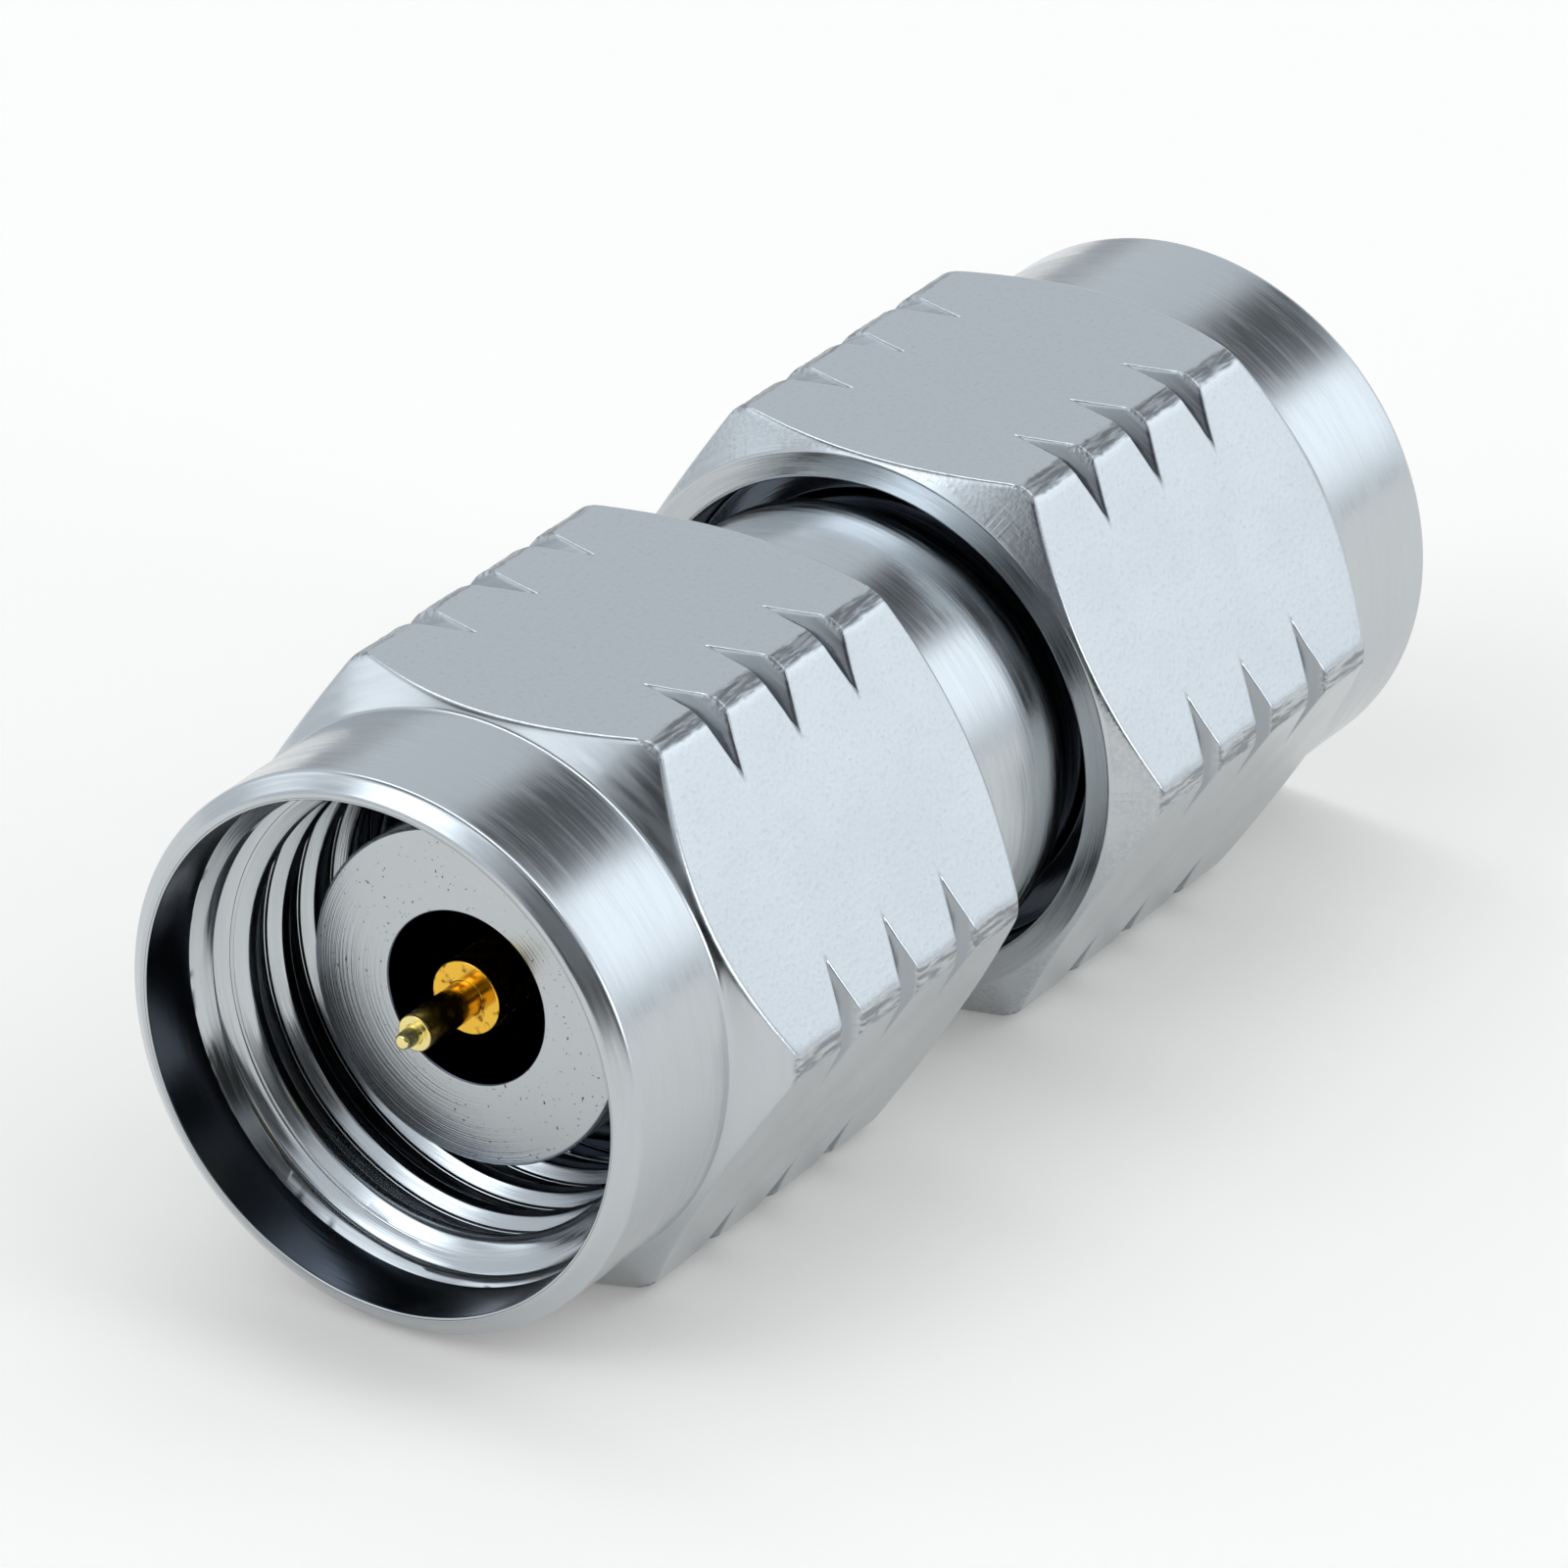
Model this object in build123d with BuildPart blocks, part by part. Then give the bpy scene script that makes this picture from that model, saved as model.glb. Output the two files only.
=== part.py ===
from math import cos, pi
import os

from build123d import *

# Coaxial adapter with a plug and a coupling nut at each end.
# It lies on the flats of its nuts. X is the coaxial axis, the front mouth looks to -X, +Z is up,
# and the origin is the middle of the adapter on its axis. All sizes are in millimetres.
# A station is a distance from the middle along the axis, the same on both halves.

os.makedirs("parts", exist_ok=True)

# Air line and centre contacts
line_bore_d = 2.40
centre_conductor_d = 1.042
pin_d = 0.511
pin_length = 1.16
pin_edge = 0.035
pin_nose_base_d = 0.28
pin_nose_d = 0.24
pin_nose_length = 0.30
stud_d = 0.50
stud_length = 0.90
stud_hole_spare = 0.10

# Support beads
bead_d = 3.80
bead_thickness = 0.80
bead_hole_d = 0.50
bead_hole_circle_d = 1.76
bead_hole_count = 6

# Centre barrel: a flange between the nuts and a neck inside each of them
flange_step = 0.30
flange_length = 2.64
flange_edge = 0.06
neck_wall = 0.75
neck_length = 3.58
neck_edge = 0.10

# Outer conductors: a threaded tail in the barrel, a shoulder on the neck, a plug in the nut
tail_d = 4.50
tail_length = 1.75
shoulder_length = 0.85
shoulder_edge = 0.08
plug_d = 4.72
plug_length = 2.22
plug_edge = 0.04
bore_edge = 0.04

# Split retaining rings
ring_seat = 0.20
ring_reach = 0.25
ring_width = 0.50
ring_gap = 1.20
ring_setback = 2.26
ring_side_clearance = 0.03
ring_rim_clearance = 0.05

# Coupling nuts, measured from their inner end face
nut_length = 8.60
nut_tail = 2.18
nut_end_face_width = 0.34
nut_back_cone_length = 0.44
nut_strip_end = 5.70
nut_nose_wall = 0.335
nut_nose_fillet = 0.08
nut_rim_round = 0.14
nut_float = 0.15
running_clearance = 0.05

# Hexagon: its flats stand off the nose, and its corners are turned down
flat_step = 0.09
corner_relief = 0.0688

# Notches turned across the corners of the hexagon
notch_count = 3
notch_pitch = 1.37
notch_width = 0.48
notch_depth = 0.34

# Bore of the nut
skirt_clearance = 0.25
skirt_depth = 0.90
skirt_edge = 0.05
thread_major_d = 7.00
thread_relief_depth = 0.05
thread_relief_length = 0.70
thread_end_setback = 4.30
mouth_lead = 0.075
mouth_bore_depth = 0.95

# Stations worked out from the sizes
flange_end = flange_length / 2
neck_end = flange_end + neck_length
bead_outer = neck_end - tail_length
bead_inner = bead_outer - bead_thickness
shoulder_end = neck_end + shoulder_length
plug_face = shoulder_end + plug_length
ring_centre = flange_end + ring_setback
nut_start = ring_centre - nut_tail
nut_end = nut_start + nut_length

# How closely an edge's place and size must match when it is looked up
edge_match = 1e-4

# Barrel and ring, from the tail outwards: the groove takes the whole ring when it is squeezed
neck_d = tail_d + 2 * neck_wall
flange_d = neck_d + 2 * flange_step
ring_inner_d = neck_d - 2 * ring_seat
ring_outer_d = neck_d + 2 * ring_reach
neck_groove_d = neck_d - 2 * (ring_seat + ring_reach)
neck_groove_width = ring_width + 2 * (nut_float + ring_side_clearance)

# Inner end of the nut, from the barrel and the ring outwards
nut_groove_d = ring_outer_d + 2 * ring_rim_clearance
nut_groove_width = ring_width + 2 * ring_side_clearance
nut_bearing_d = neck_d + 2 * running_clearance
skirt_bore_d = flange_d + 2 * skirt_clearance
nut_end_face_d = skirt_bore_d + 2 * (skirt_edge + nut_end_face_width)

# Mouth of the nut and its hexagon, from the thread outwards
thread_relief_d = thread_major_d + 2 * thread_relief_depth
mouth_bore_d = thread_major_d + 2 * mouth_lead
nut_nose_d = mouth_bore_d + 2 * nut_nose_wall
across_flats = nut_nose_d + 2 * flat_step
across_turned_corners = across_flats / cos(pi / 6) - 2 * corner_relief


def section_plane(side):
    """Plane for half sections: local x is the station towards that end, local y the radius."""
    return Plane(origin=(0, 0, 0), x_dir=(side, 0, 0), z_dir=(0, -side, 0))


def end_plane(side, station):
    """Plane across the axis at a station, facing that end, with local x along +Y."""
    return Plane(origin=(side * station, 0, 0), x_dir=(0, 1, 0), z_dir=(side, 0, 0))


def circles_at(part, side, station, diameter):
    """The round edges of a part that lie at a station and have a diameter."""
    near = part.edges().filter_by(GeomType.CIRCLE)
    near = near.filter_by(lambda e: abs(e.center().X - side * station) < edge_match)
    return near.filter_by(lambda e: abs(e.radius - diameter / 2) < edge_match)


def centre_barrel():
    """Body of the adapter: flange, two necks with ring grooves, bead seats and tapped ends."""
    with BuildPart() as barrel:
        with BuildSketch(Plane.YZ):
            Circle(flange_d / 2)
        extrude(amount=flange_length / 2, both=True)
        chamfer(circles_at(barrel, 1, flange_end, flange_d), flange_edge)
        chamfer(circles_at(barrel, -1, flange_end, flange_d), flange_edge)
        with BuildSketch(Plane.YZ):
            Circle(neck_d / 2)
        extrude(amount=neck_end, both=True)
        chamfer(circles_at(barrel, 1, neck_end, neck_d), neck_edge)
        chamfer(circles_at(barrel, -1, neck_end, neck_d), neck_edge)
        with BuildSketch(Plane.YZ):
            Circle(line_bore_d / 2)
        extrude(amount=neck_end, both=True, mode=Mode.SUBTRACT)
        for side in (-1, 1):
            with BuildSketch(end_plane(side, bead_inner)):
                Circle(bead_d / 2)
            extrude(amount=bead_thickness, mode=Mode.SUBTRACT)
            with BuildSketch(end_plane(side, bead_outer)):
                Circle(tail_d / 2)
            extrude(amount=tail_length, mode=Mode.SUBTRACT)
            with BuildSketch(end_plane(side, ring_centre)):
                Circle(neck_d / 2 + ring_rim_clearance)
                Circle(neck_groove_d / 2, mode=Mode.SUBTRACT)
            extrude(amount=neck_groove_width / 2, both=True, mode=Mode.SUBTRACT)
    return barrel


def outer_conductor(side):
    """Plug sleeve: the tail screws into the barrel, the flat plug face meets the mating socket."""
    with BuildPart() as sleeve:
        with BuildSketch(end_plane(side, bead_outer)):
            Circle(tail_d / 2)
        extrude(amount=tail_length)
        with BuildSketch(end_plane(side, shoulder_end)):
            Circle(plug_d / 2)
        extrude(amount=plug_length)
        with BuildSketch(end_plane(side, neck_end)):
            Circle(neck_d / 2)
        extrude(amount=shoulder_length)
        chamfer(circles_at(sleeve, side, shoulder_end, neck_d), shoulder_edge)
        chamfer(circles_at(sleeve, side, plug_face, plug_d), plug_edge)
        with BuildSketch(end_plane(side, bead_outer)):
            Circle(line_bore_d / 2)
        extrude(amount=plug_face - bead_outer, mode=Mode.SUBTRACT)
        chamfer(circles_at(sleeve, side, plug_face, line_bore_d), bore_edge)
    return sleeve


def support_bead(side):
    """Plastic bead between the barrel's step and the sleeve's tail, with a ring of air holes."""
    with BuildPart() as bead:
        with BuildSketch(end_plane(side, bead_inner)):
            Circle(bead_d / 2)
            Circle(stud_d / 2, mode=Mode.SUBTRACT)
            with PolarLocations(bead_hole_circle_d / 2, bead_hole_count):
                Circle(bead_hole_d / 2, mode=Mode.SUBTRACT)
        extrude(amount=bead_thickness)
    return bead


def contact(side):
    """Gold contact turned from one rod: nose, pin, conductor, and the stud through the bead."""
    with BuildPart() as pin:
        pin_end = plug_face + pin_length
        tip = pin_end + pin_nose_length
        nose_r = pin_nose_d / 2
        with BuildSketch(section_plane(side)):
            with BuildLine():
                outline = Polyline(
                    (tip - nose_r, nose_r),
                    (pin_end, pin_nose_base_d / 2),
                    (pin_end, pin_d / 2 - pin_edge),
                    (pin_end - pin_edge, pin_d / 2),
                    (plug_face, pin_d / 2),
                    (plug_face, centre_conductor_d / 2),
                    (bead_outer, centre_conductor_d / 2),
                    (bead_outer, stud_d / 2),
                    (bead_inner - stud_length, stud_d / 2),
                    (bead_inner - stud_length, 0),
                    (tip, 0),
                )
                RadiusArc(outline @ 1, outline @ 0, nose_r)
            make_face()
        revolve(axis=Axis.X)
    return pin


def centre_rod():
    """Inner conductor between the beads, drilled and tapped at both ends for the studs."""
    with BuildPart() as rod:
        with BuildSketch(Plane.YZ):
            Circle(centre_conductor_d / 2)
        extrude(amount=bead_inner, both=True)
        for side in (-1, 1):
            with BuildSketch(end_plane(side, bead_inner)):
                Circle(stud_d / 2)
            extrude(amount=-(stud_length + stud_hole_spare), mode=Mode.SUBTRACT)
    return rod


def retaining_ring(side):
    """Split snap ring: its inner edge sits in the neck's groove and its rim in the nut's."""
    with BuildPart() as ring:
        with BuildSketch(end_plane(side, ring_centre)):
            Circle(ring_outer_d / 2)
            Circle(ring_inner_d / 2, mode=Mode.SUBTRACT)
            with Locations((0, ring_outer_d / 2)):
                Rectangle(ring_gap, ring_outer_d, mode=Mode.SUBTRACT)
        extrude(amount=ring_width / 2, both=True)
    return ring


def nut_outline():
    """Turned outline of the nut from its mouth back to its inner end, with the corner notches."""
    corner_r = across_turned_corners / 2
    strip_start = nut_start + nut_back_cone_length
    strip_end = nut_start + nut_strip_end
    notch_middle = (strip_start + strip_end) / 2
    points = [
        (nut_end, mouth_bore_d / 2),
        (nut_end, nut_nose_d / 2),
        (strip_end + corner_r - nut_nose_d / 2, nut_nose_d / 2),
        (strip_end, corner_r),
    ]
    for index in range(notch_count):
        centre = notch_middle + notch_pitch * ((notch_count - 1) / 2 - index)
        points += [
            (centre + notch_width / 2, corner_r),
            (centre, corner_r - notch_depth),
            (centre - notch_width / 2, corner_r),
        ]
    return points + [(strip_start, corner_r), (nut_start, nut_end_face_d / 2)]


def nut_bore():
    """Bore of the nut from its inner end out to its mouth; the fine thread is left plain."""
    thread_start = nut_end - thread_end_setback
    relief_start = thread_start - thread_relief_length
    mouth_floor = nut_end - mouth_bore_depth
    return [
        (nut_start, skirt_bore_d / 2 + skirt_edge),
        (nut_start + skirt_edge, skirt_bore_d / 2),
        (nut_start + skirt_depth, skirt_bore_d / 2),
        (nut_start + skirt_depth, nut_bearing_d / 2),
        (ring_centre - nut_groove_width / 2, nut_bearing_d / 2),
        (ring_centre - nut_groove_width / 2, nut_groove_d / 2),
        (ring_centre + nut_groove_width / 2, nut_groove_d / 2),
        (ring_centre + nut_groove_width / 2, nut_bearing_d / 2),
        (relief_start, nut_bearing_d / 2),
        (relief_start, thread_relief_d / 2),
        (thread_start, thread_relief_d / 2),
        (thread_start, thread_major_d / 2),
        (mouth_floor - mouth_lead, thread_major_d / 2),
        (mouth_floor, mouth_bore_d / 2),
    ]


def coupling_nut(side):
    """Hexagon nut with turned corners, notches and nose, and the stepped bore inside."""
    with BuildPart() as nut:
        with BuildSketch(section_plane(side)):
            with BuildLine():
                Polyline(*nut_outline(), *nut_bore(), close=True)
            make_face()
        revolve(axis=Axis.X)
        with BuildSketch(end_plane(side, nut_start)):
            RegularPolygon(across_flats / 2, 6, major_radius=False)
        extrude(amount=nut_length, mode=Mode.INTERSECT)
        nose_root = nut_start + nut_strip_end + (across_turned_corners - nut_nose_d) / 2
        fillet(circles_at(nut, side, nose_root, nut_nose_d), nut_nose_fillet)
        fillet(circles_at(nut, side, nut_end, nut_nose_d), nut_rim_round)
    return nut


def finish(builder, name):
    """Label a finished piece and write its file."""
    builder.part.label = name
    export_step(builder.part, f"parts/{name}.step")


finish(centre_barrel(), "centre_barrel")
finish(centre_rod(), "centre_rod")
for end, side in (("front", -1), ("rear", 1)):
    finish(outer_conductor(side), f"{end}_outer_conductor")
    finish(support_bead(side), f"{end}_support_bead")
    finish(contact(side), f"{end}_contact")
    finish(retaining_ring(side), f"{end}_retaining_ring")
    finish(coupling_nut(side), f"{end}_coupling_nut")
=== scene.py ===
"""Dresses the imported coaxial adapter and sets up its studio, floor and camera.

The adapter lies along X with its front mouth towards -X and +Z up. Sizes in this file are in millimetres
and become metres when a mesh is made. A station is a distance from the middle of the adapter along its
axis, the same on both halves. An angle runs from +Z towards -Y, which is a positive turn about +X.
"""

import logging
from collections.abc import Callable
from dataclasses import dataclass
from enum import Enum
from functools import partial
from typing import Any

import bmesh
import bpy
import numpy as np
from mathutils import Matrix, Vector


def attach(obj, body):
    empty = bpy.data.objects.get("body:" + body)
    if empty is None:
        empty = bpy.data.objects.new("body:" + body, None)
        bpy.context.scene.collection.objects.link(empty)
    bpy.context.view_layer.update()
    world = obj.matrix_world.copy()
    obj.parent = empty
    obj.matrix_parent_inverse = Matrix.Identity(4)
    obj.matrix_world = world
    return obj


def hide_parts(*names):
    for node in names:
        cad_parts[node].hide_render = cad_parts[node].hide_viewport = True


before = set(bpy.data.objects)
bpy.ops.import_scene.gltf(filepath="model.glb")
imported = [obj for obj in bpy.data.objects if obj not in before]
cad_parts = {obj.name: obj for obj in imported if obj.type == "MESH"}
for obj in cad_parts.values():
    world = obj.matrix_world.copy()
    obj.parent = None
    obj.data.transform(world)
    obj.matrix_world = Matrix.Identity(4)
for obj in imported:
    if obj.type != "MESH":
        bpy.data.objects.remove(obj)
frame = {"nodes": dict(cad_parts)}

log = logging.getLogger("adapter")

METRES_PER_MM = 0.001
FULL_TURN = 2 * np.pi
WELD_MM = 0.0002
SHARP_ANGLE = np.radians(40)


class Side(Enum):
    """The two halves of the adapter, with the sign of their direction along X."""

    FRONT = -1
    REAR = 1

    @property
    def word(self) -> str:
        """The half's name as the nodes and bodies spell it."""
        return self.name.lower()


class Mark(Enum):
    """Point attributes that tell a material how each place of a surface was machined, and where shade is
    painted.
    """

    TURNED = "turned"
    FACED = "faced"
    CORNER = "corner"
    # Bores and notch walls: painted shade, and a smoother surface
    SHADED_RECESS = "shaded_recess"
    TIP = "tip"


# Geometry helpers


def softened(
    outline: np.ndarray, reach: np.ndarray | float, steps: int = 6, closed: bool = False
) -> np.ndarray:
    """Rounds the corners of an outline, each with a short curve between two points on its sides.

    A corner P with side points S and E at distance reach becomes (1-t)^2 S + 2t(1-t) P + t^2 E for t from
    0 to 1. One more point stands a quarter of the reach outside each end, so that the shading of the
    sides stays flat.

    Args:
        outline: Corners in order, one (station, radius) pair per row.
        reach: How far each curve reaches along the two sides, one value or one per corner.
        steps: Number of straight pieces in each curve.
        closed: True if the last corner is joined to the first.

    Returns:
        The points of the rounded outline, one pair per row.
    """
    corners = outline if closed else outline[1:-1]
    before = np.roll(outline, 1, axis=0) if closed else outline[:-2]
    after = np.roll(outline, -1, axis=0) if closed else outline[2:]
    reach = np.broadcast_to(np.asarray(reach, float), (len(corners),))[:, None]
    back = (before - corners) / np.linalg.norm(before - corners, axis=1, keepdims=True)
    ahead = (after - corners) / np.linalg.norm(after - corners, axis=1, keepdims=True)
    start = corners + back * reach
    end = corners + ahead * reach
    t = np.linspace(0.0, 1.0, steps + 1)[None, :, None]
    curve = (1 - t) ** 2 * start[:, None] + 2 * t * (1 - t) * corners[:, None] + t**2 * end[:, None]
    lead_in = (corners + back * reach * 1.25)[:, None]
    lead_out = (corners + ahead * reach * 1.25)[:, None]
    points = np.concatenate([lead_in, curve, lead_out], axis=1).reshape(-1, 2)
    if closed:
        return np.concatenate([points, points[:1]])
    return np.concatenate([outline[:1], points, outline[-1:]])


def soft_min(a: np.ndarray, b: np.ndarray, width: float) -> np.ndarray:
    """The smaller of a and b, blended where they meet so that no crease is left.

    It is min(a, b) - width * h^2 / 4 with h = max(0, 1 - |a - b| / width).

    Args:
        a: First values.
        b: Second values.
        width: How far apart the two may be and still be blended.

    Returns:
        The blended smaller values.
    """
    h = np.clip(1 - np.abs(a - b) / width, 0, 1)
    return np.minimum(a, b) - h * h * width / 4


def wander(place: np.ndarray, lengths: tuple[float, ...], seed: int) -> np.ndarray:
    """A gentle irregular line from -1 to 1: the mean of sines of given wave lengths with seeded phases.

    Args:
        place: Where to read the line, in the same unit as the lengths.
        lengths: Wave lengths of the sines.
        seed: Seed of the phases.

    Returns:
        The line's value at each place.
    """
    phases = np.random.default_rng(seed).uniform(0, FULL_TURN, len(lengths))
    waves = np.sin(place[..., None] * FULL_TURN / np.array(lengths) + phases)
    return waves.mean(axis=-1)


def full_circle(columns: int) -> np.ndarray:
    """Angles of the columns of a turned piece, with the closing column at one full turn."""
    return np.linspace(0, FULL_TURN, columns + 1)


def grid_object(
    name: str,
    side: int,
    station: np.ndarray,
    radius: np.ndarray,
    angle: np.ndarray,
    marks: dict[Mark, np.ndarray],
) -> bpy.types.Object:
    """Makes a mesh of quads from a grid of points round the axis: (side * s, -r sin a, r cos a).

    Args:
        name: Name of the new object.
        side: -1 for the front half, 1 for the rear half or for both.
        station: Distance of each grid point from the middle, rows by columns.
        radius: Distance of each grid point from the axis, same shape.
        angle: Angle of each grid point, same shape.
        marks: Values from 0 to 1 for each grid point, same shape, kept as point attributes.

    Returns:
        The object, linked to the scene, with seams welded and its faces outward.
    """
    station, radius, angle = np.broadcast_arrays(station, radius, angle)
    rows, columns = station.shape
    points = np.stack([side * station, -radius * np.sin(angle), radius * np.cos(angle)], axis=-1)
    first = np.arange(rows - 1)[:, None] * columns + np.arange(columns - 1)[None, :]
    quads = np.stack([first, first + 1, first + columns + 1, first + columns], axis=-1).reshape(-1, 4)
    mesh = bpy.data.meshes.new(name)
    mesh.from_pydata((points.reshape(-1, 3) * METRES_PER_MM).tolist(), [], quads.tolist())
    for mark, values in marks.items():
        layer = mesh.attributes.new(mark.value, "FLOAT", "POINT")
        spread = np.broadcast_to(values, station.shape)
        layer.data.foreach_set("value", spread.astype(np.float32).ravel())
    work = bmesh.new()
    work.from_mesh(mesh)
    bmesh.ops.remove_doubles(work, verts=work.verts, dist=WELD_MM * METRES_PER_MM)
    bmesh.ops.dissolve_degenerate(work, edges=work.edges, dist=WELD_MM * METRES_PER_MM)
    bmesh.ops.recalc_face_normals(work, faces=work.faces)
    work.to_mesh(mesh)
    work.free()
    mesh.shade_smooth()
    mesh.set_sharp_from_angle(angle=SHARP_ANGLE)
    piece = bpy.data.objects.new(name, mesh)
    bpy.context.scene.collection.objects.link(piece)
    return piece


def turned_object(
    name: str, side: int, outline: np.ndarray, columns: int, marks: dict[Mark, np.ndarray]
) -> bpy.types.Object:
    """Turns an outline round the axis: every (s, r) of it becomes the circle (s, -r sin a, r cos a).

    Args:
        name: Name of the new object.
        side: -1 for the front half, 1 for the rear half or for both.
        outline: The points of the outline, one (station, radius) pair per row.
        columns: Number of columns round the axis.
        marks: One value for each outline point, kept as point attributes.

    Returns:
        The turned object.
    """
    rows = {mark: values[:, None] for mark, values in marks.items()}
    return grid_object(name, side, outline[:, :1], outline[:, 1:], full_circle(columns)[None, :], rows)


# Materials


# add_node with its tree already given, as new_material returns it
NodeMaker = Callable[..., bpy.types.Node]


def linear(colour: str) -> tuple[float, float, float, float]:
    """Turns an sRGB colour into linear light, with the usual curve and its straight foot.

    Args:
        colour: Hex string such as "#C0C5C8".

    Returns:
        Red, green, blue and full alpha.
    """
    values = np.array([int(colour[i : i + 2], 16) for i in (1, 3, 5)]) / 255
    lin = np.where(values <= 0.04045, values / 12.92, ((values + 0.055) / 1.055) ** 2.4)
    return (float(lin[0]), float(lin[1]), float(lin[2]), 1.0)


def add_node(
    tree: bpy.types.NodeTree, kind: str, inputs: dict[str | int, Any] | None = None, **settings: Any
) -> bpy.types.Node:
    """Adds one node, sets its properties, and fills or links its inputs.

    Args:
        tree: The node tree that gets the node.
        kind: Blender's name of the node type.
        inputs: For each named or numbered input a value, an output socket, or a node, whose first output
            that is in use gets linked.
        settings: Properties of the node.

    Returns:
        The new node.
    """
    node = tree.nodes.new(kind)
    for key, value in settings.items():
        setattr(node, key, value)
    for key, value in (inputs or {}).items():
        if isinstance(value, bpy.types.Node):
            value = next(output for output in value.outputs if output.enabled)
        if isinstance(value, bpy.types.NodeSocket):
            tree.links.new(value, node.inputs[key])
        else:
            node.inputs[key].default_value = value
    return node


def new_material(name: str) -> tuple[bpy.types.Material, NodeMaker]:
    """Makes an empty node material.

    Args:
        name: Name of the material.

    Returns:
        The material, and add_node for its tree.
    """
    material = bpy.data.materials.new(name)
    material.use_nodes = True
    material.node_tree.nodes.clear()
    return material, partial(add_node, material.node_tree)


def ramp(value: Any, low: float, high: float, to_low: float = 0.0, to_high: float = 1.0) -> dict[str, Any]:
    """Inputs that map a value from low..high to to_low..to_high.

    Args:
        value: The node or socket to map.
        low: Value that gives to_low.
        high: Value that gives to_high.
        to_low: Result at and below low.
        to_high: Result at and above high.

    Returns:
        The inputs by name.
    """
    return {"Value": value, "From Min": low, "From Max": high, "To Min": to_low, "To Max": to_high}


@dataclass(frozen=True)
class Place:
    """The place on the part in millimetres, for patterns.

    Attributes:
        node: add_node for the material's tree.
        along: Place along the axis.
        y: Place along Y.
        z: Place along Z.
        radius: Distance from the axis.
    """

    node: NodeMaker
    along: bpy.types.NodeSocket
    y: bpy.types.NodeSocket
    z: bpy.types.NodeSocket
    radius: bpy.types.Node

    @classmethod
    def of(cls, node: NodeMaker) -> "Place":
        """Reads the object's own coordinates, which are the frame's, and turns metres into millimetres.

        Args:
            node: add_node for the material's tree.

        Returns:
            The place.
        """
        metres = node("ShaderNodeTexCoord").outputs["Object"]
        whole = node("ShaderNodeVectorMath", {0: metres, 1: (1 / METRES_PER_MM,) * 3}, operation="MULTIPLY")
        parts = node("ShaderNodeSeparateXYZ", {0: whole}).outputs
        across = node("ShaderNodeVectorMath", {0: whole, 1: (0, 1, 1)}, operation="MULTIPLY")
        return cls(node, *parts, node("ShaderNodeVectorMath", {0: across}, operation="LENGTH"))

    def grains(self, sizes: tuple[float, float, float], first: Any = None) -> bpy.types.Node:
        """Coordinates of a pattern whose grains have given sizes: each part divided by its size.

        Args:
            sizes: Size of a grain along the three parts, in millimetres.
            first: What is read as the first part. It is the place along the axis if nothing is given.

        Returns:
            The node with the coordinates.
        """
        parts = (self.along if first is None else first, self.y, self.z)
        scaled = {
            number: self.node("ShaderNodeMath", {0: part, 1: size}, operation="DIVIDE")
            for number, (part, size) in enumerate(zip(parts, sizes))
        }
        return self.node("ShaderNodeCombineXYZ", scaled)

    def turning(self, width: float, length: float) -> bpy.types.Node:
        """Coordinates for the lines that a lathe tool leaves, on walls and faces alike.

        Their first part is the distance from the middle along the axis, plus 1.7 times the radius.

        Args:
            width: Width of a line in millimetres.
            length: Length of a line in millimetres.

        Returns:
            The node with the coordinates.
        """
        distance = self.node("ShaderNodeMath", {0: self.along}, operation="ABSOLUTE")
        terms = {0: self.radius, 1: 1.7, 2: distance}
        across = self.node("ShaderNodeMath", terms, operation="MULTIPLY_ADD")
        return self.grains((width, length, length), across)


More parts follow.
